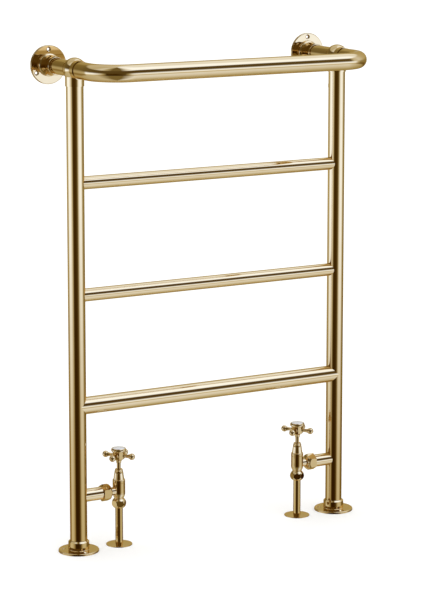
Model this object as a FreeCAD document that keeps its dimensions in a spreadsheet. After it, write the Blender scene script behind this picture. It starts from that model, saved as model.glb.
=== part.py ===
"""Floor-standing towel warmer: ball-jointed brass tubes, wall stays and crosshead angle valves.

Millimetres. +Z is up, the front is -Y and the wall side is +Y. The origin is on the floor, in the
middle of the overall box. Both halves are alike, so most pieces are made by a loop over the sides.
"""
import FreeCAD, Part
import itertools
import math
import os

import Sketcher

doc = FreeCAD.newDocument("TowelWarmer")
sheet = doc.addObject("Spreadsheet::Sheet", "Sizes")
free_rows = itertools.count(1)


class Size:
    """A number together with the sheet expression that gives it."""

    def __init__(self, text, value):
        self.text = text
        self.value = value

    def __add__(self, other):
        other = as_size(other)
        return Size(f"({self.text} + {other.text})", self.value + other.value)

    def __sub__(self, other):
        other = as_size(other)
        return Size(f"({self.text} - {other.text})", self.value - other.value)

    def __mul__(self, other):
        other = as_size(other)
        return Size(f"({self.text} * {other.text})", self.value * other.value)

    def __truediv__(self, other):
        other = as_size(other)
        return Size(f"({self.text} / {other.text})", self.value / other.value)

    def __radd__(self, other):
        return as_size(other) + self

    def __rsub__(self, other):
        return as_size(other) - self

    def __rmul__(self, other):
        return as_size(other) * self

    def __neg__(self):
        return self * -1

    def root(self):
        return Size(f"sqrt({self.text})", math.sqrt(self.value))


def as_size(number):
    if isinstance(number, Size):
        return number
    return Size(f"({number})", number)


def named(alias, value, note):
    """Put one driving dimension in the sheet and return it as a Size."""
    row = next(free_rows)
    sheet.set(f"A{row}", note)
    sheet.set(f"B{row}", str(value))
    sheet.setAlias(f"B{row}", alias)
    return Size(f"Sizes.{alias}", value)


# ---- frame ----
spacing = named("post_spacing", 590, "between upright axes")
height = named("height", 965, "floor to the top of the balls")
lower_z = named("lower_rail", 288.3, "floor to the lower rail")
tube_od = named("tube_od", 33.7, "uprights, front bar and lower rail")
rail_od = named("rail_od", 25.4, "upper and middle rails")
wall = named("tube_wall", 1.5, "tube wall")
port_step = named("port_step", 2.2, "rail bore to the edge of its water port")
bar_reach = named("bar_reach", 120, "front bar axis ahead of the uprights")
bar_bend = named("bar_bend", 60, "centreline bend radius of the front bar")
wall_reach = named("wall_reach", 115, "wall behind the upright axes")
fit_gap = named("fit_gap", 0.1, "radial clearance of a tube in its socket")
run_gap = named("run_gap", 0.05, "radial clearance of a turning or sliding fit")

# ---- ball joints and stays ----
ball_wall = named("ball_wall", 5.85, "ball proud of the tubes")
seat_gap = named("seat_gap", 0.5, "between the ends of the tubes that meet in a ball")
socket_wall = named("socket_wall", 1.35, "wall of the socket rings on the ball")
lower_grip = named("lower_grip", 14.15, "upright inside its socket")
front_grip = named("front_grip", 8.15, "front bar inside its socket")
water_step = named("water_step", 2.35, "step from the tube bore to the ball's waterway")
stay_od = named("stay_od", 31, "wall stay")
stay_wall = named("stay_wall", 3.5, "wall of the stay, hollow from the wall end")
stay_nose = named("stay_nose", 12, "solid nose of the stay")
spigot_dia = named("spigot_dia", 12, "stay spigot screwed into the ball")
spigot_long = named("spigot_long", 3, "spigot past the ball's back flat")

# ---- flanges ----
plate = named("plate_thickness", 4, "flange disc")
edge_round = named("edge_round", 1.4, "rounded flange edge")
bell_wall = named("bell_wall", 2.1, "wall of the bell at its lip")
bell_flare = named("bell_flare", 4.1, "bell's lip to the bead at its foot, radially")
bell_high = named("bell_height", 38, "wall to the lip of the bell")
wall_land = named("wall_land", 8.2, "bead to the screw holes' circle")
wall_edge = named("wall_edge", 8, "screw holes' circle to the disc's edge")
collar_wall = named("collar_wall", 3.55, "floor flange collar")
collar_high = named("collar_height", 22, "floor to the top of the collar")
floor_land = named("floor_land", 10.5, "collar to the screw holes' circle")
floor_edge = named("floor_edge", 8.5, "screw holes' circle to the disc's edge")
screw_hole = named("screw_hole_dia", 5.5, "fixing holes")
countersink = named("countersink_dia", 10, "mouths of the fixing holes")
grub_dia = named("grub_dia", 4, "grub screws")
grub_key = named("grub_key", 2, "hexagon key in a grub screw")
grub_high = named("grub_height", 9, "floor to the grub screw axis")
grub_inset = named("grub_inset", 6, "bell's lip to the grub screw axis")

# ---- supply pipe and connection to the upright ----
pipe_od = named("pipe_od", 15, "supply pipe")
pipe_wall = named("pipe_wall", 1, "supply pipe wall")
pipe_grip = named("pipe_grip", 4, "supply pipe inside the valve's socket")
rosette_land = named("rosette_land", 18.3, "pipe to the rosette's rim")
rosette_high = named("rosette_height", 3.2, "floor rosette at the pipe")
nut_foot = named("nut_foot", 75, "floor to the foot of the compression nut")
nut_high = named("nut_height", 18, "compression nut")
nut_lip = named("nut_lip", 4, "lip of the nut under the olive")
olive_high = named("olive_height", 3, "olive")
nut_wall = named("nut_wall", 3.2, "compression nut over its thread")
stub_od = named("stub_od", 25.4, "stub on the upright")
stub_wall = named("stub_wall", 2.4, "stub wall")
stub_long = named("stub_length", 33.65, "stub beyond the upright's face")
union_step = named("union_step", 4.6, "union nut's flats over the stub")
union_long = named("union_length", 19.4, "union nut")
outlet_long = named("outlet_length", 6.7, "outlet neck between union nut and barrel")
outlet_od = named("outlet_od", 16, "valve outlet neck")
outlet_bore = named("outlet_bore", 10, "bore of the outlet and the union tail")
tail_collar = named("tail_collar", 2.6, "union tail's collar over the outlet")

# ---- valve ----
neck_wall = named("neck_wall", 1.75, "neck round the pipe socket")
neck_high = named("neck_height", 7, "compression nut to the barrel's foot")
barrel_step = named("barrel_step", 3.05, "neck to barrel, radially")
barrel_wall = named("barrel_wall", 2.9, "barrel round its chamber")
axis_high = named("axis_height", 9, "barrel's foot to the outlet axis")
barrel_high = named("barrel_height", 25.4, "barrel's foot to the seam under the bonnet")
barrel_flare = named("barrel_flare", 5.4, "barrel's foot to its full width")
seat_rise = named("seat_rise", 3.5, "barrel's foot to the valve seat")
seat_bore = named("seat_bore", 9, "opening through the seat")
bonnet_high = named("bonnet_height", 21, "seam to the top of the bonnet")
gland_high = named("gland_height", 6.3, "gland nut above the bonnet")
gland_wall = named("gland_wall", 3.8, "gland nut round the spindle")
packing_wall = named("packing_wall", 2.2, "packing round the spindle")
packing_deep = named("packing_depth", 5, "packing's pocket in the bonnet")
spindle_dia = named("spindle_dia", 7.8, "spindle")
drive_dia = named("drive_dia", 5, "threaded foot of the spindle, inside the plug")
plug_wall = named("plug_wall", 3.45, "plug round the spindle's foot")
plug_high = named("plug_height", 11, "plug above its washer")
washer_high = named("washer_height", 2, "rubber washer")
lift = named("plug_lift", 2.5, "travel of the plug, shut to open")
end_gap = named("end_gap", 0.5, "left between the moving pieces at the end of their travel")

# ---- crosshead handle ----
handle_rise = named("handle_rise", 27.1, "gland nut to the handle's arms")
hub_flats = named("hub_flats", 21.6, "octagonal hub across flats")
hub_high = named("hub_height", 14.4, "hub")
hub_neck = named("hub_neck", 8, "flared neck under the hub")
arm_long = named("arm_length", 17.5, "hub's flats to the centres of the arm balls")
arm_ball = named("arm_ball_dia", 12.8, "balls on the arms")
arm_neck = named("arm_neck_dia", 6.8, "narrowest part of an arm")
cap_dia = named("cap_dia", 29.6, "cap over the hub")
cap_high = named("cap_height", 7.6, "cap")
cap_lip = named("cap_lip", 2.3, "cap round the porcelain")
index_deep = named("index_depth", 3, "porcelain's seat below the cap's rim")
index_dome = named("index_dome", 3, "rise of the porcelain dome")
screw_dia = named("handle_screw_dia", 3, "screw that holds the handle")
screw_deep = named("handle_screw_depth", 7, "handle screw inside the spindle")
step_deep = named("handle_step", 8, "stepped end of the spindle inside the hub")
vent_drop = named("vent_drop", 62, "ball centre to the air vent")
vent_flats = named("vent_flats", 12, "vent plug across flats")
vent_bore = named("vent_bore", 3, "bleed passage")

doc.recompute()

# ---- derived sizes and places ----
half = spacing / 2
tube_r = tube_od / 2
bore_r = tube_r - wall
post_y = (bar_reach + tube_r - wall_reach) / 2
wall_y = post_y + wall_reach
ball_r = tube_r + ball_wall
ball_seat = tube_r + seat_gap
ball_z = height - ball_r
rail_pitch = (ball_z - lower_z) / 3
middle_z = lower_z + rail_pitch
upper_z = middle_z + rail_pitch
port_r = rail_od / 2 - wall - port_step
seat_r = tube_r + fit_gap
waterway_r = bore_r - water_step
stay_r = stay_od / 2
stay_front = (ball_r * ball_r - stay_r * stay_r).root()
lip_r = stay_r + fit_gap + bell_wall
bell_foot_r = lip_r + bell_flare
wall_ring_r = bell_foot_r + wall_land
collar_r = seat_r + collar_wall
floor_ring_r = collar_r + floor_land
vent_z = ball_z - vent_drop
vent_stem_r = vent_flats / 4

pipe_r = pipe_od / 2
neck_r = pipe_r + fit_gap + neck_wall
barrel_r = neck_r + barrel_step
chamber_r = barrel_r - barrel_wall
barrel_foot = nut_foot + nut_high + neck_high
outlet_z = barrel_foot + axis_high
seam_z = barrel_foot + barrel_high
seat_z = barrel_foot + seat_rise
bonnet_top = seam_z + bonnet_high
gland_top = bonnet_top + gland_high
spigot_foot = nut_foot + nut_lip + olive_high
stub_end = tube_r + stub_long
valve_inset = stub_end + union_long + outlet_long + barrel_r
tail_r = outlet_od / 2 + tail_collar
spindle_r = spindle_dia / 2
drive_r = drive_dia / 2
shaft_foot = seat_z + washer_high + plug_high + lift + end_gap
arm_z = gland_top + handle_rise
hub_foot = arm_z - hub_high / 2
hub_top = arm_z + hub_high / 2
plug_floor = 2
step_in = 1.2
parts = []


# ---- helpers ----
def bind(obj, prop, size):
    """Tie a property to the sheet, or set it where the size is a plain number."""
    if isinstance(size, Size):
        obj.setExpression(prop, size.text)
    else:
        obj.setExpression(prop, as_size(size).text)


TURNS = {
    "+Z": FreeCAD.Rotation(),
    "-Z": FreeCAD.Rotation(FreeCAD.Vector(1, 0, 0), 180),
    "+X": FreeCAD.Rotation(FreeCAD.Vector(0, 1, 0), 90),
    "-X": FreeCAD.Rotation(FreeCAD.Vector(0, 1, 0), -90),
    "+Y": FreeCAD.Rotation(FreeCAD.Vector(1, 0, 0), -90),
    "-Y": FreeCAD.Rotation(FreeCAD.Vector(1, 0, 0), 90),
}


def place(obj, at=(0, 0, 0), along="+Z", spin=0):
    """Put an object's own Z axis along a direction, after a spin about that axis."""
    turn = TURNS[along].multiply(FreeCAD.Rotation(FreeCAD.Vector(0, 0, 1), spin))
    obj.Placement = FreeCAD.Placement(FreeCAD.Vector(), turn)
    for letter, size in zip("xyz", at):
        bind(obj, f"Placement.Base.{letter}", size)
    return obj


def cylinder(radius, length, at=(0, 0, 0), along="+Z"):
    obj = doc.addObject("Part::Cylinder", "Cylinder")
    bind(obj, "Radius", radius)
    bind(obj, "Height", length)
    return place(obj, at, along)


def cone(foot_radius, top_radius, length, at=(0, 0, 0), along="+Z"):
    obj = doc.addObject("Part::Cone", "Cone")
    bind(obj, "Radius1", foot_radius)
    bind(obj, "Radius2", top_radius)
    bind(obj, "Height", length)
    return place(obj, at, along)


def sphere(radius, at=(0, 0, 0)):
    obj = doc.addObject("Part::Sphere", "Sphere")
    bind(obj, "Radius", radius)
    return place(obj, at)


def fuse(*shapes):
    obj = doc.addObject("Part::MultiFuse", "Fuse")
    obj.Shapes = list(shapes)
    obj.Refine = True
    return obj


def cut(base, *tools):
    obj = doc.addObject("Part::Cut", "Cut")
    obj.Base = base
    obj.Tool = tools[0] if len(tools) == 1 else fuse(*tools)
    return obj


def common(*shapes):
    obj = doc.addObject("Part::MultiCommon", "Common")
    obj.Shapes = list(shapes)
    return obj


def pipe(outer_radius, inner_radius, length, at=(0, 0, 0), along="+Z"):
    outer = cylinder(outer_radius, length, at, along)
    return cut(outer, cylinder(inner_radius, length, at, along))


def arc_between(start, end, radius, left):
    """Arc from start to end, bulging to the left or the right of that direction."""
    middle = (start + end) * 0.5
    chord = end - start
    rise = math.sqrt(max(radius * radius - chord.Length ** 2 / 4, 0))
    normal = FreeCAD.Vector(-chord.y, chord.x, 0).normalize()
    centre = middle - normal * rise if left else middle + normal * rise
    first, last = (end, start) if left else (start, end)
    circle = Part.Circle(centre, FreeCAD.Vector(0, 0, 1), radius)
    angles = [math.atan2(p.y - centre.y, p.x - centre.x) for p in (first, last)]
    if angles[1] < angles[0]:
        angles[1] += 2 * math.pi
    return Part.ArcOfCircle(circle, *angles)


def sketch_on(body, role, name):
    sketch = body.newObject("Sketcher::SketchObject", name)
    plane = [item for item in body.Origin.OriginFeatures if item.Role == role][0]
    sketch.AttachmentSupport = (plane, "")
    sketch.MapMode = "FlatFace"
    return sketch


def outline(sketch, corners, closed=True):
    """Draw straight runs and arcs through the corners, each one dimensioned from the origin.

    A corner is (across, up), or (across, up, radius, left) to reach it by an arc.
    """
    spots = [FreeCAD.Vector(as_size(c[0]).value, as_size(c[1]).value, 0) for c in corners]
    last = len(corners) - (0 if closed else 1)
    ends = []
    for index in range(last):
        target = (index + 1) % len(corners)
        corner = corners[target]
        if len(corner) == 2:
            line = Part.LineSegment(spots[index], spots[target])
            ends.append((sketch.addGeometry(line, False), 1, 2))
        else:
            radius, left = as_size(corner[2]), corner[3]
            arc = arc_between(spots[index], spots[target], radius.value, left)
            edge = sketch.addGeometry(arc, False)
            ends.append((edge, 2, 1) if left else (edge, 1, 2))
            limit = sketch.addConstraint(Sketcher.Constraint("Radius", edge, radius.value))
            bind(sketch, f"Constraints[{limit}]", radius)
    for index, (edge, first, second) in enumerate(ends):
        if closed or index + 1 < last:
            follower, follower_start, _ = ends[(index + 1) % len(ends)]
            join = Sketcher.Constraint("Coincident", edge, second, follower, follower_start)
            sketch.addConstraint(join)
        dimension(sketch, edge, first, corners[index])
    if not closed:
        edge, _, second = ends[-1]
        dimension(sketch, edge, second, corners[-1])
    return sketch


def dimension(sketch, edge, end, corner):
    for kind, size in (("DistanceX", as_size(corner[0])), ("DistanceY", as_size(corner[1]))):
        rule = Sketcher.Constraint(kind, -1, 1, edge, end, size.value)
        bind(sketch, f"Constraints[{sketch.addConstraint(rule)}]", size)


def turned(corners, at=(0, 0, 0), along="+Z"):
    """A piece turned on a lathe: the outline (radius, height) goes once round its Z axis."""
    body = doc.addObject("PartDesign::Body", "Turned")
    profile = outline(sketch_on(body, "XZ_Plane", "Profile"), corners)
    turn = body.newObject("PartDesign::Revolution", "Turn")
    turn.Profile = profile
    turn.ReferenceAxis = (profile, ["V_Axis"])
    turn.Angle = 360
    return place(body, at, along)


def prism(sides, flats, length, at=(0, 0, 0), along="+Z", spin=0):
    """A bar of regular section, measured across its flats."""
    body = doc.addObject("PartDesign::Body", "Prism")
    corner_radius = flats / (2 * math.cos(math.pi / sides))
    corners = []
    for index in range(sides):
        angle = 2 * math.pi * (index + 0.5) / sides
        corners.append((corner_radius * math.cos(angle), corner_radius * math.sin(angle)))
    section = outline(sketch_on(body, "XY_Plane", "Section"), corners)
    pad = body.newObject("PartDesign::Pad", "Pad")
    pad.Profile = section
    bind(pad, "Length", length)
    return place(body, at, along, spin)


def finish(label, obj):
    """Name a finished sub-part and keep it for writing."""
    obj.Label = label
    parts.append(obj)
    return obj


def screw_ring(ring_r, first_angle):
    """Three countersunk through holes in a disc whose back is at height 0."""
    overrun = 0.5
    hole_r = screw_hole / 2
    mouth_r = countersink / 2
    tools = []
    for index in range(3):
        angle = math.radians(first_angle + 120 * index)
        x = ring_r * math.cos(angle)
        y = ring_r * math.sin(angle)
        tools.append(cylinder(hole_r, plate + 2 * overrun, (x, y, -overrun)))
        sink = mouth_r - hole_r
        tools.append(cone(hole_r, mouth_r + overrun, sink + overrun, (x, y, plate - sink)))
    return tools


def grub_screw(at, length, along):
    """Headless screw with a hexagon socket in its outer end."""
    shank = cylinder(grub_dia / 2, length, at, along)
    depth = length * 0.6
    key = prism(6, grub_key, length, along=along)
    offset = FreeCAD.Vector(TURNS[along].multVec(FreeCAD.Vector(0, 0, 1)))
    for letter, place_of, part in zip("xyz", at, offset):
        bind(key, f"Placement.Base.{letter}", as_size(place_of) + (length - depth) * part)
    return cut(shank, key)


# ---- tubes ----
def upright(side, label):
    """Vertical tube, bored on its inner side for the rails and the valve stub."""
    x = half * side
    top = ball_z - ball_seat
    inward = "-X" if side > 0 else "+X"
    levels = (outlet_z, lower_z, middle_z, upper_z)
    tube = pipe(tube_r, bore_r, top, (x, post_y, 0))
    ports = [cylinder(port_r, tube_r + 1, (x, post_y, z), inward) for z in levels]
    if side > 0:
        ports.append(cylinder(vent_stem_r + fit_gap, tube_r + 1, (x, post_y, vent_z), "+Y"))
    finish(label + "_upright", cut(tube, *ports))


def base_plug(side, label):
    """Brazed disc that closes the foot of an upright."""
    plug = cylinder(bore_r, collar_high - plate, (half * side, post_y, 0))
    finish(label + "_base_plug", plug)


def rail(label, od, z):
    """Straight rail, coped to sit on the round faces of both uprights."""
    tube = pipe(od / 2, od / 2 - wall, spacing, (-half, post_y, z), "+X")
    copes = []
    for side in (-1, 1):
        copes.append(cylinder(tube_r, od * 2, (half * side, post_y, z - od)))
    finish(label, cut(tube, *copes))


def front_bar():
    """Front towel bar: one tube bent round both corners back to the balls."""
    body = doc.addObject("PartDesign::Body", "FrontBar")
    back_y = -ball_seat
    route = sketch_on(body, "XY_Plane", "Route")
    corners = [
        (-half, back_y),
        (-half, -(bar_reach - bar_bend)),
        (-(half - bar_bend), -bar_reach, bar_bend, False),
        (half - bar_bend, -bar_reach),
        (half, -(bar_reach - bar_bend), bar_bend, False),
        (half, back_y),
    ]
    outline(route, corners, closed=False)
    section = sketch_on(body, "XZ_Plane", "Section")
    section.AttachmentOffset.Base = FreeCAD.Vector(0, 0, 0)
    bind(section, "AttachmentOffset.Base.z", ball_seat)
    for radius in (tube_r, bore_r):
        circle = Part.Circle(FreeCAD.Vector(-half.value, 0, 0), FreeCAD.Vector(0, 0, 1), radius.value)
        ring = section.addGeometry(circle, False)
        rule = Sketcher.Constraint("Radius", ring, radius.value)
        bind(section, f"Constraints[{section.addConstraint(rule)}]", radius)
        dimension(section, ring, 3, (-half, 0))
    sweep = body.newObject("PartDesign::AdditivePipe", "Bend")
    sweep.Profile = section
    sweep.Spine = (route, [f"Edge{number}" for number in range(1, 6)])
    place(body, (0, post_y, ball_z))
    finish("top_bar", body)


# ---- ball joints and wall stays ----
def ball_joint(side, label):
    """Hollow ball with sockets for the upright below and the front bar ahead."""
    x = half * side
    ring_r = seat_r + socket_wall
    solid = fuse(
        sphere(ball_r, (x, post_y, ball_z)),
        cylinder(ring_r, ball_seat + lower_grip, (x, post_y, ball_z), "-Z"),
        cylinder(ring_r, ball_seat + front_grip, (x, post_y, ball_z), "-Y"),
    )
    hollows = [
        cylinder(seat_r, lower_grip + 1, (x, post_y, ball_z - ball_seat), "-Z"),
        cylinder(seat_r, front_grip + 1, (x, post_y - ball_seat, ball_z), "-Y"),
        cylinder(waterway_r, ball_seat + 1, (x, post_y, ball_z), "-Z"),
        cylinder(waterway_r, ball_seat + 1, (x, post_y, ball_z), "-Y"),
        sphere(waterway_r, (x, post_y, ball_z)),
        cylinder(stay_r, ball_r, (x, post_y + stay_front, ball_z), "+Y"),
    ]
    start = stay_front - spigot_long
    hollows.append(cylinder(spigot_dia / 2, ball_r, (x, post_y + start, ball_z), "+Y"))
    finish(label + "_ball_joint", cut(solid, *hollows))


def wall_stay(side, label):
    """Stay from the ball to the wall flange: solid nose with a spigot, hollow behind."""
    x = half * side
    long = wall_reach - stay_front - plate
    outer = fuse(
        cylinder(stay_r, long, (x, post_y + stay_front, ball_z), "+Y"),
        cylinder(spigot_dia / 2, spigot_long, (x, post_y + stay_front - spigot_long, ball_z), "+Y"),
    )
    hollow = cylinder(stay_r - stay_wall, long, (x, post_y + stay_front + stay_nose, ball_z), "+Y")
    finish(label + "_wall_stay", cut(outer, hollow))


def wall_flange(side, label):
    """Turned flange: screw disc, bead and a bell that grips the stay."""
    bead_top = plate + 5
    bead_r = bell_foot_r - 1
    disc_r = wall_ring_r + wall_edge
    lip_round = 1.2
    corners = [
        (0, 0),
        (disc_r, 0),
        (disc_r, plate - edge_round),
        (disc_r - edge_round, plate, edge_round, False),
        (bead_r, plate),
        (bead_r, bead_top, 2.8, False),
        (lip_r + 1.6, bead_top + 1),
        (lip_r, bell_high - 9, 42, True),
        (lip_r, bell_high - lip_round),
        (lip_r - lip_round, bell_high, lip_round, False),
        (stay_r + fit_gap, bell_high),
        (stay_r + fit_gap, plate),
        (0, plate),
    ]
    disc = turned(corners)
    thread = cylinder(grub_dia / 2, disc_r, (0, 0, bell_high - grub_inset), "-Y")
    flange = cut(disc, thread, *screw_ring(wall_ring_r, 90))
    place(flange, (half * side, wall_y, ball_z), "-Y")
    finish(label + "_wall_flange", flange)
    grub_y = wall_y - bell_high + grub_inset
    start = stay_r + fit_gap
    screw = grub_screw((half * side, grub_y, ball_z - start), lip_r - start, "-Z")
    finish(label + "_wall_grub_screw", screw)


# ---- floor flanges ----
def floor_flange(side, label):
    """Screw disc with a collar that slides over the upright's foot."""
    bevel = 2.6
    foot = 0.9
    disc_r = floor_ring_r + floor_edge
    corners = [
        (seat_r, 0),
        (disc_r, 0),
        (disc_r, plate - edge_round),
        (disc_r - edge_round, plate, edge_round, False),
        (collar_r + foot, plate),
        (collar_r, plate + foot, foot, True),
        (collar_r, collar_high - bevel),
        (seat_r + 0.9, collar_high),
        (seat_r, collar_high),
    ]
    disc = turned(corners)
    thread = cylinder(grub_dia / 2, collar_r, (0, 0, grub_high), "-Y")
    flange = cut(disc, thread, *screw_ring(floor_ring_r, 30))
    place(flange, (half * side, post_y, 0))
    finish(label + "_floor_flange", flange)
    screw = grub_screw((half * side, post_y - seat_r, grub_high), collar_wall - 0.3, "-Y")
    finish(label + "_floor_grub_screw", screw)


# ---- air vent ----
def air_vent():
    """Hexagon vent plug on the back of the right upright, with a square-headed bleed screw."""
    head = 6
    face_y = post_y + tube_r
    stem = cylinder(vent_stem_r, wall + 1, (half, face_y - wall, vent_z), "+Y")
    hexagon = prism(6, vent_flats, head, (half, face_y, vent_z), "+Y")
    bore = cylinder(vent_bore / 2, head + wall + 1, (half, face_y - wall, vent_z), "+Y")
    finish("air_vent_plug", cut(fuse(stem, hexagon), bore))
    shank = cylinder(vent_bore / 2, head, (half, face_y, vent_z), "+Y")
    square = prism(4, vent_bore + 2, 5, (half, face_y + head, vent_z), "+Y")
    finish("air_vent_screw", fuse(shank, square))


# ---- valve: connection to the upright ----
def outlet_side(side, label):
    """Stub on the upright, union nut and the tail that joins stub and valve."""
    x = half * side
    inward = "-X" if side > 0 else "+X"
    tail_in = 10
    tail_out = 6
    stub_bore = stub_od / 2 - stub_wall
    tube = pipe(stub_od / 2, stub_bore, stub_end, (x, post_y, outlet_z), inward)
    cope = cylinder(tube_r, stub_od * 2, (x, post_y, outlet_z - stub_od))
    finish(label + "_valve_stub", cut(tube, cope))

    tail = turned([
        (outlet_bore / 2, -tail_in),
        (stub_bore, -tail_in),
        (stub_bore, 0),
        (tail_r, 0),
        (tail_r, tail_out),
        (outlet_bore / 2, tail_out),
    ])
    place(tail, (x - (stub_end * side), post_y, outlet_z), inward)
    finish(label + "_union_tail", tail)

    flats = stub_od + union_step
    corner_r = flats / math.sqrt(3)
    dome = 8.5
    chamfer = 1.4
    lip = 3.5
    neck_hole = outlet_od / 2 + fit_gap
    envelope = turned([
        (tail_r, 0),
        (corner_r - chamfer, 0),
        (corner_r, chamfer, chamfer, False),
        (corner_r, union_long - dome),
        (neck_hole + chamfer, union_long, 11.5, False),
        (neck_hole, union_long),
        (neck_hole, union_long - lip),
        (tail_r, union_long - lip),
    ])
    nut = common(prism(6, flats, union_long, spin=30), envelope)
    place(nut, (x - (stub_end * side), post_y, outlet_z), inward)
    finish(label + "_union_nut", nut)


# ---- valve: supply pipe ----
def supply_side(x, label, nut_turn):
    """Rosette, supply pipe, olive and compression nut under the valve."""
    tube = pipe(pipe_r, pipe_r - pipe_wall, spigot_foot + pipe_grip, (x, post_y, 0))
    finish(label + "_supply_pipe", tube)

    rim = 1.2
    rim_r = pipe_r + rosette_land
    rosette = turned([
        (pipe_r + run_gap, 0),
        (rim_r, 0),
        (rim_r, rim),
        (pipe_r + 3, rosette_high, 160, False),
        (pipe_r + run_gap, rosette_high),
    ], (x, post_y, 0))
    finish(label + "_pipe_rosette", rosette)

    flats = (neck_r + nut_wall) * 2
    corner_r = flats / math.sqrt(3)
    waist_low = nut_high * 0.4
    waist_high = nut_high * 0.52
    envelope = turned([
        (pipe_r + fit_gap, 0),
        (pipe_r + 2.2, 0),
        (corner_r, waist_low, 12, False),
        (corner_r, waist_high),
        (neck_r + 0.6, nut_high, 14, False),
        (neck_r, nut_high),
        (neck_r, nut_lip),
        (pipe_r + fit_gap, nut_lip),
    ])
    nut = common(prism(6, flats, nut_high, spin=nut_turn), envelope)
    place(nut, (x, post_y, nut_foot))
    finish(label + "_compression_nut", nut)

    olive = turned([
        (pipe_r, 0),
        (neck_r - 0.9, 0),
        (neck_r, olive_high / 2),
        (neck_r - 0.9, olive_high),
        (pipe_r, olive_high),
    ], (x, post_y, nut_foot + nut_lip))
    finish(label + "_olive", olive)


# ---- valve: body and bonnet ----
def valve_body(side, x, label):
    """Angle body: pipe socket and neck below, seat inside, outlet towards the upright."""
    outward = "+X" if side > 0 else "-X"
    shell = turned([
        (0, spigot_foot),
        (neck_r, spigot_foot),
        (neck_r, barrel_foot - neck_high),
        (neck_r + 0.4, barrel_foot - 4.6, 8, True),
        (barrel_r, barrel_foot + barrel_flare, 17, False),
        (barrel_r, seam_z),
        (0, seam_z),
    ])
    tail_out = 6
    reach = valve_inset - stub_end - tail_out
    outlet = cylinder(outlet_od / 2, reach, (0, 0, outlet_z), outward)
    hollows = [
        cylinder(pipe_r + fit_gap, pipe_grip, (0, 0, spigot_foot)),
        cylinder(seat_bore / 2, seat_z, (0, 0, spigot_foot)),
        cylinder(chamber_r, barrel_high, (0, 0, seat_z)),
        cylinder(outlet_bore / 2, reach + 1, (0, 0, outlet_z), outward),
    ]
    body = cut(fuse(shell, outlet), *hollows)
    place(body, (x, post_y, 0))
    finish(label + "_valve_body", body)


def headwork(x, label):
    """Bonnet screwed into the body, with its gland nut and packing."""
    bore = spindle_r + run_gap
    gland_r = spindle_r + gland_wall
    pocket_r = spindle_r + packing_wall
    pocket_foot = bonnet_top - packing_deep
    ring = 5
    bonnet = turned([
        (bore, shaft_foot),
        (chamber_r, shaft_foot),
        (chamber_r, seam_z),
        (barrel_r - 0.35, seam_z),
        (barrel_r - 0.35, seam_z + 0.6),
        (barrel_r, seam_z + 1),
        (barrel_r, seam_z + ring),
        (barrel_r - 1.9, seam_z + ring + 1.9, 2, False),
        (gland_r + 1.2, bonnet_top - 1.5),
        (gland_r + 0.8, bonnet_top),
        (pocket_r, bonnet_top),
        (pocket_r, pocket_foot),
        (bore, pocket_foot),
    ], (x, post_y, 0))
    finish(label + "_bonnet", bonnet)

    tongue = 2
    crown = 1.2
    gland = turned([
        (bore, bonnet_top - tongue),
        (pocket_r, bonnet_top - tongue),
        (pocket_r, bonnet_top),
        (gland_r + 0.6, bonnet_top),
        (gland_r + 0.6, bonnet_top + 2.4),
        (gland_r - 0.2, bonnet_top + 3.4),
        (gland_r, gland_top - crown),
        (gland_r - crown, gland_top, crown, False),
        (bore, gland_top),
    ], (x, post_y, 0))
    finish(label + "_gland_nut", gland)
    packing = pipe(pocket_r, bore, packing_deep - tongue, (x, post_y, pocket_foot))
    finish(label + "_gland_packing", packing)


# ---- valve: moving pieces ----
def spindle(x, label):
    """Turns with the handle; its threaded foot lifts the plug."""
    foot = seat_z + washer_high + plug_floor + lift + end_gap
    shaft = turned([
        (0, foot),
        (drive_r, foot),
        (drive_r, shaft_foot),
        (spindle_r, shaft_foot),
        (spindle_r, hub_top - step_deep),
        (spindle_r - step_in, hub_top - step_deep),
        (spindle_r - step_in, hub_top),
        (0, hub_top),
    ])
    tapped = cylinder(screw_dia / 2, screw_deep + 1, (0, 0, hub_top - screw_deep))
    finish(label + "_spindle", place(cut(shaft, tapped), (x, post_y, 0)))


def plug(x, label):
    """Plug that the spindle's foot raises, with its rubber washer."""
    plug_r = drive_r + run_gap + plug_wall
    button_r = 2
    button_high = washer_high - 0.6
    body = turned([
        (0, -button_high),
        (button_r, -button_high),
        (button_r, 0),
        (plug_r, 0),
        (plug_r, plug_high),
        (drive_r + run_gap, plug_high),
        (drive_r + run_gap, plug_floor),
        (0, plug_floor),
    ], (x, post_y, seat_z + washer_high))
    finish(label + "_valve_plug", body)
    washer = pipe(plug_r - 0.2, button_r, washer_high, (x, post_y, seat_z))
    finish(label + "_plug_washer", washer)


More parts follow.
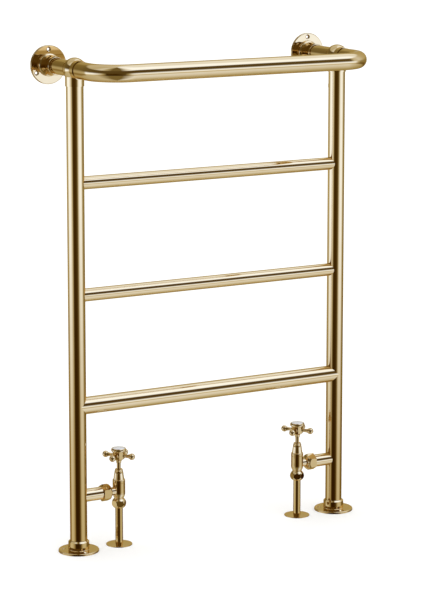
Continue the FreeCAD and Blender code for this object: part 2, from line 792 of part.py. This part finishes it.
def crosshead(x, label):
    """Handle casting: flared neck, octagonal hub and four arms with ball ends."""
    flare_foot = hub_foot - hub_neck
    hub = prism(8, hub_flats, hub_high, (0, 0, hub_foot))
    crown_r = hub_flats / (2 * math.cos(math.pi / 8))
    crown = turned([
        (0, hub_foot),
        (hub_flats / 2 - 0.8, hub_foot),
        (crown_r, hub_foot + 1.6),
        (crown_r, hub_top),
        (0, hub_top),
    ])
    neck = turned([
        (0, flare_foot),
        (spindle_r + 1, flare_foot),
        (spindle_r + 1, flare_foot + 1.5),
        (hub_flats / 2 - 2, hub_foot + 0.2, 10, True),
        (0, hub_foot + 0.2),
    ])
    pieces = [common(hub, crown), neck]
    arm_turn = 37
    waist = hub_flats / 2 + 3.2
    arm_reach = hub_flats / 2 + arm_long
    for index in range(4):
        arm = turned([
            (0, 0),
            (arm_neck / 2 + 0.9, 0),
            (arm_neck / 2 + 0.9, hub_flats / 2),
            (arm_neck / 2, waist, 6, True),
            (arm_ball * 0.36, arm_reach - arm_ball * 0.34, 22, True),
            (arm_ball / 2, arm_reach, arm_ball / 2, False),
            (0, arm_reach + arm_ball / 2, arm_ball / 2, False),
        ])
        place(arm, (0, 0, arm_z), "+X")
        turn = FreeCAD.Rotation(FreeCAD.Vector(0, 0, 1), arm_turn + 90 * index)
        arm.Placement.Rotation = turn.multiply(arm.Placement.Rotation)
        pieces.append(arm)
    socket_foot = flare_foot - 1
    sockets = [
        cylinder(spindle_r, hub_top - step_deep - socket_foot, (0, 0, socket_foot)),
        cylinder(spindle_r - step_in, step_deep + 1, (0, 0, hub_top - step_deep)),
    ]
    head = cut(fuse(*pieces), *sockets)
    finish(label + "_crosshead", place(head, (x, post_y, 0)))


def cap_and_index(x, label):
    """Domed cap on the hub, the porcelain index set in it and the screw under both."""
    cap_r = cap_dia / 2
    rim = cap_r - cap_lip
    inner_r = rim - 3
    seat = cap_high - index_deep
    cap = turned([
        (inner_r, 0),
        (cap_r - 3.4, 0),
        (cap_r, 3.6, 3.9, False),
        (rim + 0.7, cap_high, 6.4, False),
        (rim, cap_high),
        (rim, seat),
        (inner_r, seat),
    ], (x, post_y, hub_top))
    finish(label + "_handle_cap", cap)
    dome_r = (rim * rim + index_dome * index_dome) / (index_dome * 2)
    index = turned([
        (0, seat),
        (rim, seat),
        (rim, cap_high - 0.2),
        (0, cap_high - 0.2 + index_dome, dome_r, False),
    ], (x, post_y, hub_top))
    finish(label + "_porcelain_index", index)
    head_high = 2.5
    screw = turned([
        (0, -screw_deep),
        (screw_dia / 2, -screw_deep),
        (screw_dia / 2, 0),
        (screw_dia / 2 + 2, 0),
        (screw_dia / 2 + 2, head_high),
        (0, head_high),
    ])
    slot = doc.addObject("Part::Box", "Slot")
    slot.Length = 8
    slot.Width = 0.8
    slot.Height = 2
    place(slot, (-4, -0.4, head_high - 0.9))
    finish(label + "_handle_screw", place(cut(screw, slot), (x, post_y, hub_top)))


# ---- build ----
for side, label, nut_turn in ((-1, "left", 15), (1, "right", 0)):
    valve_x = (half - valve_inset) * side
    upright(side, label)
    base_plug(side, label)
    ball_joint(side, label)
    wall_stay(side, label)
    wall_flange(side, label)
    floor_flange(side, label)
    outlet_side(side, label)
    supply_side(valve_x, label, nut_turn)
    valve_body(side, valve_x, label)
    headwork(valve_x, label)
    spindle(valve_x, label)
    plug(valve_x, label)
    crosshead(valve_x, label)
    cap_and_index(valve_x, label)
front_bar()
rail("upper_rail", rail_od, upper_z)
rail("middle_rail", rail_od, middle_z)
rail("lower_rail", tube_od, lower_z)
air_vent()

doc.recompute()

# ---- check and write ----
for obj in doc.Objects:
    if "Invalid" in obj.State or "Error" in obj.State:
        raise RuntimeError(f"{obj.Label} ({obj.Name}) failed: {obj.State}")
for part in parts:
    if part.Shape.isNull() or not part.Shape.isValid() or not part.Shape.Solids:
        raise RuntimeError(f"{part.Label} has no valid solid")

os.makedirs("parts", exist_ok=True)
for part in parts:
    part.Shape.exportStep(f"parts/{part.Label}.step")
    print(f"{part.Label:24s} {len(part.Shape.Solids)} solid {part.Shape.Volume / 1000:9.3f} cm3")
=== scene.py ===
"""Looks of a polished brass towel warmer rack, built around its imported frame.

Metres, +Z up, the floor at z = 0, the front of the rack towards -Y.
"""

import math

import bmesh
import bpy
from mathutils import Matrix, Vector


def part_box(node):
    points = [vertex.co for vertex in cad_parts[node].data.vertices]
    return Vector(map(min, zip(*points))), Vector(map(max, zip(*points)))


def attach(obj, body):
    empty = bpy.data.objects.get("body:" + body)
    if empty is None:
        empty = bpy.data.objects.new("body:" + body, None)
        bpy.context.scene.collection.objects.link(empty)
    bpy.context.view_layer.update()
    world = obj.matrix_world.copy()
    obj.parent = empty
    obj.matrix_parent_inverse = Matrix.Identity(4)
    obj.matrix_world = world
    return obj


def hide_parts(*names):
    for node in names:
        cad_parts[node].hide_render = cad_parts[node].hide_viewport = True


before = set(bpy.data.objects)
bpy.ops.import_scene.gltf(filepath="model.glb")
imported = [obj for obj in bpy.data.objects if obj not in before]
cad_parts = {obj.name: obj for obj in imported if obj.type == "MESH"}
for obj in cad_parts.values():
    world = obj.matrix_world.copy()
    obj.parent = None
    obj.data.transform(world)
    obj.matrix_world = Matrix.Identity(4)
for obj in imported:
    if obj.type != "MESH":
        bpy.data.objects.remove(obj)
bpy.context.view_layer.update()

SIDES = {"left": -1, "right": 1}

# Tube sizes that a node's box doesn't tell.
TUBE_WALL = 0.0015
PIPE_WALL = 0.001
STUB_WALL = 0.0024
FRONT_BAR_BEND = 0.060

# How finely tubes are cut up: faces around, metres between the rings of a standing tube, and numbers
# of steps along a lying tube, along a straight arm of the front bar and round its bend.
FACETS = 144
STANDING_STEP = 0.05
LYING_STEPS = 12
ARM_STEPS = 4
BEND_STEPS = 32


# ---- shader nodes ----
class Graph:
    """A short way to write a node tree."""

    # Places of the colour sockets on a Mix node.
    MIX_FACTOR, MIX_FIRST, MIX_SECOND, MIX_RESULT = 0, 6, 7, 2

    def __init__(self, tree):
        self.tree = tree
        tree.nodes.clear()

    def node(self, kind, inputs=None, **settings):
        made = self.tree.nodes.new(kind)
        for name, value in settings.items():
            setattr(made, name, value)
        for name, value in (inputs or {}).items():
            self.feed(made.inputs[name], value)
        return made

    def feed(self, socket, value):
        if isinstance(value, bpy.types.NodeSocket):
            self.tree.links.new(value, socket)
        else:
            socket.default_value = value

    def maths(self, operation, *values):
        made = self.node("ShaderNodeMath", operation=operation)
        for socket, value in zip(made.inputs, values):
            self.feed(socket, value)
        return made.outputs[0]

    def dot(self, vector, axis):
        made = self.node("ShaderNodeVectorMath", {0: vector, 1: axis}, operation="DOT_PRODUCT")
        return made.outputs["Value"]

    def spread(self, value, low, high, to_low=0.0, to_high=1.0, smooth=False):
        """value carried from low..high to to_low..to_high."""
        kind = "SMOOTHSTEP" if smooth else "LINEAR"
        inputs = {
            "Value": value,
            "From Min": low,
            "From Max": high,
            "To Min": to_low,
            "To Max": to_high,
        }
        return self.node("ShaderNodeMapRange", inputs, interpolation_type=kind).outputs["Result"]

    def mix(self, factor, first, second, blend="MIX"):
        made = self.node("ShaderNodeMix", data_type="RGBA", blend_type=blend)
        self.feed(made.inputs[self.MIX_FACTOR], factor)
        self.feed(made.inputs[self.MIX_FIRST], first)
        self.feed(made.inputs[self.MIX_SECOND], second)
        return made.outputs[self.MIX_RESULT]

    def ramp(self, factor, stops):
        """stops is a list of (position, colour)."""
        made = self.node("ShaderNodeValToRGB", {"Fac": factor})
        elements = made.color_ramp.elements
        while len(elements) < len(stops):
            elements.new(1.0)
        for element, (position, colour) in zip(elements, stops):
            element.position = position
            element.color = (*colour, 1.0)
        return made.outputs["Color"]

    def noise(self, vector, scale, detail=2.0, roughness=0.5):
        inputs = {"Vector": vector, "Scale": scale, "Detail": detail, "Roughness": roughness}
        return self.node("ShaderNodeTexNoise", inputs).outputs["Fac"]


# ---- studio: soft panels reflected in the brass, a pale floor, the camera ----
# What shows behind the rack, and the even light on surfaces that aren't mirrors.
BACKDROP = (1, 1, 1, 1)
SOFT_LIGHT = (1.25, 1.25, 1.25, 1)
FLOOR_REACH = 30.0

# Fixed level directions of the bearings 0, in front of the rack and to its left, and 90.
BEARING_ZERO = (-0.498, -0.867, 0.0)
BEARING_QUARTER = (0.867, -0.498, 0.0)

# Colour of the studio at a brightness from 0 to 1.
STUDIO_COLOURS = [
    (0.0, (0.056, 0.027, 0.001)),
    (0.2, (0.25, 0.20, 0.08)),
    (0.35, (0.43, 0.385, 0.22)),
    (0.5, (0.62, 0.60, 0.50)),
    (1.0, (1.19, 1.41, 1.95)),
]
FLOOR_TINT = (0.56, 0.45, 0.24, 1)

# Brightness of the studio in each belt, by bearing in degrees.
HORIZON = [
    (-180, 0.42), (-118, 0.40), (-106, 0.46), (-98, 0.94), (-72, 0.96), (-58, 0.78), (-44, 0.52),
    (-37, 0.34), (-28, 0.01), (0, 0.0), (14, 0.03), (25, 0.07), (35, 0.36), (47, 0.76), (60, 0.90),
    (74, 0.92), (88, 0.84), (100, 0.44), (112, 0.25), (152, 0.26), (180, 0.42),
]
CANOPY = [
    (-180, 0.40), (-158, 0.34), (-146, 0.20), (-120, 0.12), (-60, 0.06), (0, 0.05), (60, 0.04),
    (72, 0.08), (84, 0.50), (105, 0.60), (130, 0.46), (180, 0.40),
]
CEILING = [
    (-180, 0.55), (-90, 0.44), (-55, 0.62), (-38, 0.40), (-16, 0.12), (14, 0.12), (38, 0.70),
    (60, 0.97), (92, 1.0), (108, 0.84), (124, 0.70), (146, 0.82), (165, 0.76), (180, 0.55),
]
GROUND = [
    (-180, 0.34), (-120, 0.44), (-60, 0.50), (-22, 0.16), (18, 0.16), (58, 0.72), (70, 0.66),
    (84, 0.56), (112, 0.45), (150, 0.33), (180, 0.34),
]

# Degrees above the horizon between which one belt gives way to the next.
GROUND_TO_DUSK = (-27, -18)
DUSK_TO_HORIZON = (-17, -7.5)
HORIZON_TO_CANOPY = (-5, 11)
CANOPY_TO_CEILING = (33, 42)


def studio_colour(level):
    for (start, low), (stop, high) in zip(STUDIO_COLOURS, STUDIO_COLOURS[1:]):
        if level <= stop:
            share = (level - start) / (stop - start)
            return tuple(a + (b - a) * share for a, b in zip(low, high))


def make_studio():
    """What the brass mirrors: four belts, one above the other, with dusk along the horizon's foot."""
    world = bpy.data.worlds.new("studio")
    bpy.context.scene.world = world
    world.use_nodes = True
    world.cycles.sampling_method = "NONE"
    graph = Graph(world.node_tree)
    direction = graph.node("ShaderNodeTexCoord").outputs["Generated"]
    rise = graph.node("ShaderNodeSeparateXYZ", {0: direction}).outputs["Z"]
    ahead = graph.dot(direction, BEARING_ZERO)
    aside = graph.dot(direction, BEARING_QUARTER)
    bearing = graph.spread(graph.maths("ARCTAN2", aside, ahead), -math.pi, math.pi)

    def belt(table):
        stops = [((angle + 180) / 360, studio_colour(level)) for angle, level in table]
        return graph.ramp(bearing, stops)

    def past(angles):
        low, high = (math.sin(math.radians(angle)) for angle in angles)
        return graph.spread(rise, low, high, smooth=True)

    horizon = belt(HORIZON)
    dusk = graph.mix(1.0, horizon, FLOOR_TINT, "MULTIPLY")
    reflected = graph.mix(past(GROUND_TO_DUSK), belt(GROUND), dusk)
    reflected = graph.mix(past(DUSK_TO_HORIZON), reflected, horizon)
    reflected = graph.mix(past(HORIZON_TO_CANOPY), reflected, belt(CANOPY))
    reflected = graph.mix(past(CANOPY_TO_CEILING), reflected, belt(CEILING))

    rays = graph.node("ShaderNodeLightPath").outputs
    lit = graph.mix(rays["Is Diffuse Ray"], reflected, SOFT_LIGHT)
    seen = graph.mix(rays["Is Camera Ray"], lit, BACKDROP)
    shine = graph.node("ShaderNodeBackground", {"Color": seen, "Strength": 1.0})
    graph.node("ShaderNodeOutputWorld", {"Surface": shine.outputs[0]})


def make_floor():
    mesh = bpy.data.meshes.new("studio_floor")
    signs = ((-1, -1), (1, -1), (1, 1), (-1, 1))
    corners = [(x * FLOOR_REACH, y * FLOOR_REACH, 0.0) for x, y in signs]
    mesh.from_pydata(corners, [], [(0, 1, 2, 3)])
    floor = bpy.data.objects.new("studio_floor", mesh)
    bpy.context.scene.collection.objects.link(floor)
    floor.visible_glossy = False
    mesh.materials.append(floor_finish())


def make_camera():
    """Off to the left of the rack and a little above it, with the lens shifted slightly."""
    focus = Vector((0.0037, 0.0109, 0.6382))
    distance = 4.6835
    azimuth = math.radians(-29.847)
    tilt = math.radians(8.955)
    level = Vector((math.sin(azimuth), -math.cos(azimuth), 0.0))
    away = level * math.cos(tilt) + Vector((0.0, 0.0, math.sin(tilt)))
    data = bpy.data.cameras.new("camera")
    data.sensor_width = 36.0
    data.lens = 142.39
    data.shift_y = -0.14
    data.clip_end = 100.0
    camera = bpy.data.objects.new("camera", data)
    camera.location = focus + away * distance
    camera.rotation_euler = (-away).to_track_quat("-Z", "Y").to_euler()
    bpy.context.scene.collection.objects.link(camera)
    bpy.context.scene.camera = camera
    bpy.context.scene.view_settings.view_transform = "Standard"
    bpy.context.scene.view_settings.look = "None"


# ---- materials ----
# Most of what a noise texture gives lies between these two.
NOISE_SPAN = (0.3, 0.7)


def new_finish(name):
    material = bpy.data.materials.new(name)
    material.use_nodes = True
    return material, Graph(material.node_tree)


def close(graph, shader):
    graph.node("ShaderNodeOutputMaterial", {"Surface": shader.outputs[0]})


def bump(graph, height, distance, strength=1.0):
    inputs = {"Height": height, "Distance": distance, "Strength": strength}
    return graph.node("ShaderNodeBump", inputs).outputs["Normal"]


def place_in_metres(graph):
    return graph.node("ShaderNodeTexCoord").outputs["Object"]


def brass_finish():
    """Polished brass: a faint cloudiness in colour, uneven polish and a ripple too fine to feel."""
    material, graph = new_finish("polished_brass")
    spot = place_in_metres(graph)
    cloud = graph.noise(spot, scale=38.0, detail=3.0)
    colour = graph.mix(cloud, (0.825, 0.640, 0.370, 1), (0.875, 0.700, 0.430, 1))
    buffing = graph.noise(spot, scale=420.0, detail=4.0, roughness=0.7)
    ripple = graph.noise(spot, scale=95.0, detail=3.0, roughness=0.55)
    inputs = {
        "Base Color": colour,
        "Specular Tint": (0.90, 0.76, 0.48, 1),
        "Metallic": 1.0,
        "Roughness": graph.spread(buffing, *NOISE_SPAN, to_low=0.02, to_high=0.05),
        "Normal": bump(graph, ripple, distance=0.000006, strength=0.5),
    }
    close(graph, graph.node("ShaderNodeBsdfPrincipled", inputs))
    return material


def steel_finish():
    """Turned steel, with fine tool marks."""
    material, graph = new_finish("steel")
    spot = place_in_metres(graph)
    marks = graph.noise(spot, scale=900.0)
    colour = graph.mix(marks, (0.50, 0.49, 0.47, 1), (0.62, 0.61, 0.58, 1))
    inputs = {
        "Base Color": colour,
        "Metallic": 1.0,
        "Roughness": graph.spread(marks, *NOISE_SPAN, to_low=0.22, to_high=0.34),
        "Normal": bump(graph, marks, distance=0.00002),
    }
    close(graph, graph.node("ShaderNodeBsdfPrincipled", inputs))
    return material


def rubber_finish():
    """Black washer and packing rubber, slightly dusty."""
    material, graph = new_finish("rubber")
    spot = place_in_metres(graph)
    grain = graph.noise(spot, scale=1500.0, detail=3.0)
    colour = graph.mix(grain, (0.022, 0.022, 0.022, 1), (0.055, 0.053, 0.050, 1))
    inputs = {
        "Base Color": colour,
        "Roughness": graph.spread(grain, *NOISE_SPAN, to_low=0.62, to_high=0.80),
        "Normal": bump(graph, grain, distance=0.00005),
    }
    close(graph, graph.node("ShaderNodeBsdfPrincipled", inputs))
    return material


def porcelain_finish():
    """White glazed porcelain: a soft body under a clear glaze with a slight ripple."""
    material, graph = new_finish("porcelain")
    spot = place_in_metres(graph)
    cloud = graph.noise(spot, scale=160.0)
    ripple = graph.noise(spot, scale=240.0)
    colour = graph.mix(cloud, (0.60, 0.60, 0.63, 1), (0.68, 0.68, 0.70, 1))
    inputs = {
        "Base Color": colour,
        "Roughness": 0.16,
        "Coat Weight": 0.6,
        "Coat Roughness": 0.04,
        "Normal": bump(graph, ripple, distance=0.00004, strength=0.5),
    }
    close(graph, graph.node("ShaderNodeBsdfPrincipled", inputs))
    return material


def floor_finish():
    material, graph = new_finish("pale_floor")
    grain = graph.noise(place_in_metres(graph), scale=14.0, detail=3.0)
    colour = graph.mix(grain, (0.925, 0.925, 0.92, 1), (0.935, 0.935, 0.93, 1))
    inputs = {"Base Color": colour, "Roughness": 0.9, "Specular IOR Level": 0.0}
    close(graph, graph.node("ShaderNodeBsdfPrincipled", inputs))
    return material


def dress_nodes(finishes):
    """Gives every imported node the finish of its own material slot."""
    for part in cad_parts.values():
        for slot in part.material_slots:
            slot.material = finishes[slot.material.name.split(".")[0]]


# ---- tubes ----
def tube_mesh(name, outer, inner):
    """A closed tube. outer and inner are its two skins: lists of rings, from one end to the other."""
    shape = bmesh.new()
    skins = [[[shape.verts.new(point) for point in ring] for ring in skin] for skin in (outer, inner)]
    for skin, inward in zip(skins, (False, True)):
        for first, second in zip(skin, skin[1:]):
            stitch(shape, first, second, inward, smooth=True)
    stitch(shape, skins[1][0], skins[0][0], False, smooth=False)
    stitch(shape, skins[0][-1], skins[1][-1], False, smooth=False)
    for edge in shape.edges:
        edge.smooth = len({face.smooth for face in edge.link_faces}) == 1
    bmesh.ops.recalc_face_normals(shape, faces=shape.faces)
    mesh = bpy.data.meshes.new(name)
    shape.to_mesh(mesh)
    shape.free()
    piece = bpy.data.objects.new(name, mesh)
    bpy.context.scene.collection.objects.link(piece)
    return piece


def stitch(shape, first, second, inward, smooth):
    """A band of faces between two rings of the same count."""
    count = len(first)
    for i in range(count):
        j = (i + 1) % count
        corners = (first[i], first[j], second[j], second[i])
        face = shape.faces.new(reversed(corners) if inward else corners)
        face.smooth = smooth


def circle():
    turns = [math.tau * i / FACETS for i in range(FACETS)]
    return [(math.cos(turn), math.sin(turn)) for turn in turns]


def standing_rings(centre, low, high, radius):
    rings = []
    steps = max(1, round((high - low) / STANDING_STEP))
    for i in range(steps + 1):
        z = low + (high - low) * i / steps
        rings.append([(centre.x + radius * c, centre.y + radius * s, z) for c, s in circle()])
    return rings


def coped_rings(ends, centre, radius):
    """Rings of a tube along X. Each of the two ends is a rule: x, from the distance off the axis in Y."""
    rings = []
    for i in range(LYING_STEPS + 1):
        share = i / LYING_STEPS
        ring = []
        for c, s in circle():
            start, stop = (rule(radius * c) for rule in ends)
            ring.append((start + (stop - start) * share, centre.y + radius * c, centre.z + radius * s))
        rings.append(ring)
    return rings


def against(post_x, post_radius, side):
    """End rule of a tube coped to an upright, on the side of it that faces the middle."""
    return lambda off: post_x - side * math.sqrt(max(0.0, post_radius ** 2 - off ** 2))


def take_place(piece, node, body, finish):
    """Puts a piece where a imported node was."""
    piece.data.materials.append(finish)
    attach(piece, body)
    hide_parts(node)


def axis_of(node):
    """Middle of a straight node, and half its size each way."""
    low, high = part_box(node)
    return (low + high) / 2, (high - low) / 2


def make_standing_tubes(node_end, piece_end, wall, brass):
    """A smooth tube on each side, in place of the node whose name has that side and that ending."""
    for side in SIDES:
        node = side + node_end
        middle, reach = axis_of(node)
        low, high = middle.z - reach.z, middle.z + reach.z
        skins = [standing_rings(middle, low, high, r) for r in (reach.y, reach.y - wall)]
        piece = tube_mesh(side + piece_end, *skins)
        take_place(piece, node, "rack", brass)


def make_rails(brass):
    posts = {side: axis_of(side + "_upright") for side in SIDES}
    ends = [against(posts[side][0].x, posts[side][1].y, sign) for side, sign in SIDES.items()]
    for level in ("upper", "middle", "lower"):
        node = level + "_rail"
        middle, reach = axis_of(node)
        skins = [coped_rings(ends, middle, r) for r in (reach.z, reach.z - TUBE_WALL)]
        take_place(tube_mesh(level + "_rail_tube", *skins), node, "rack", brass)


def make_stubs(brass):
    for side, sign in SIDES.items():
        node = side + "_valve_stub"
        middle, reach = axis_of(node)
        post, post_reach = axis_of(side + "_upright")
        free_end = middle.x - sign * reach.x
        ends = [against(post.x, post_reach.y, sign), lambda off, x=free_end: x]
        if sign > 0:
            ends.reverse()
        skins = [coped_rings(ends, middle, r) for r in (reach.z, reach.z - STUB_WALL)]
        take_place(tube_mesh(side + "_stub_tube", *skins), node, "rack", brass)


def bar_line(node_low, node_high, radius):
    """Centre line of the U-shaped front bar: points, each with its outward direction in plan."""
    half = (node_high.x - node_low.x) / 2 - radius
    front = node_low.y + radius
    straight = node_high.y - (front + FRONT_BAR_BEND)
    line = []
    for sign in (-1, 1):
        arm = []
        for i in range(ARM_STEPS + 1):
            y = node_high.y - straight * i / ARM_STEPS
            arm.append(((sign * half, y), (sign, 0.0)))
        for i in range(1, BEND_STEPS + 1):
            turn = math.pi / 2 * i / BEND_STEPS
            out = (sign * math.cos(turn), -math.sin(turn))
            x = sign * (half - FRONT_BAR_BEND) + FRONT_BAR_BEND * out[0]
            y = front + FRONT_BAR_BEND + FRONT_BAR_BEND * out[1]
            arm.append(((x, y), out))
        line += arm if sign < 0 else reversed(arm)
    return line


def make_front_bar(brass):
    low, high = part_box("top_bar")
    radius = (high.z - low.z) / 2
    level = (high.z + low.z) / 2
    line = bar_line(low, high, radius)
    skins = []
    for r in (radius, radius - TUBE_WALL):
        rings = []
        for (x, y), out in line:
            rings.append([(x + out[0] * r * c, y + out[1] * r * c, level + r * s) for c, s in circle()])
        skins.append(rings)
    take_place(tube_mesh("front_bar_tube", *skins), "top_bar", "rack", brass)


# ---- the scene ----
make_camera()
make_studio()
make_floor()
finishes = {
    "polished_brass": brass_finish(),
    "steel": steel_finish(),
    "rubber": rubber_finish(),
    "porcelain": porcelain_finish(),
}
dress_nodes(finishes)
brass = finishes["polished_brass"]
make_standing_tubes("_upright", "_upright_tube", TUBE_WALL, brass)
make_rails(brass)
make_stubs(brass)
make_standing_tubes("_supply_pipe", "_pipe_tube", PIPE_WALL, brass)
make_front_bar(brass)
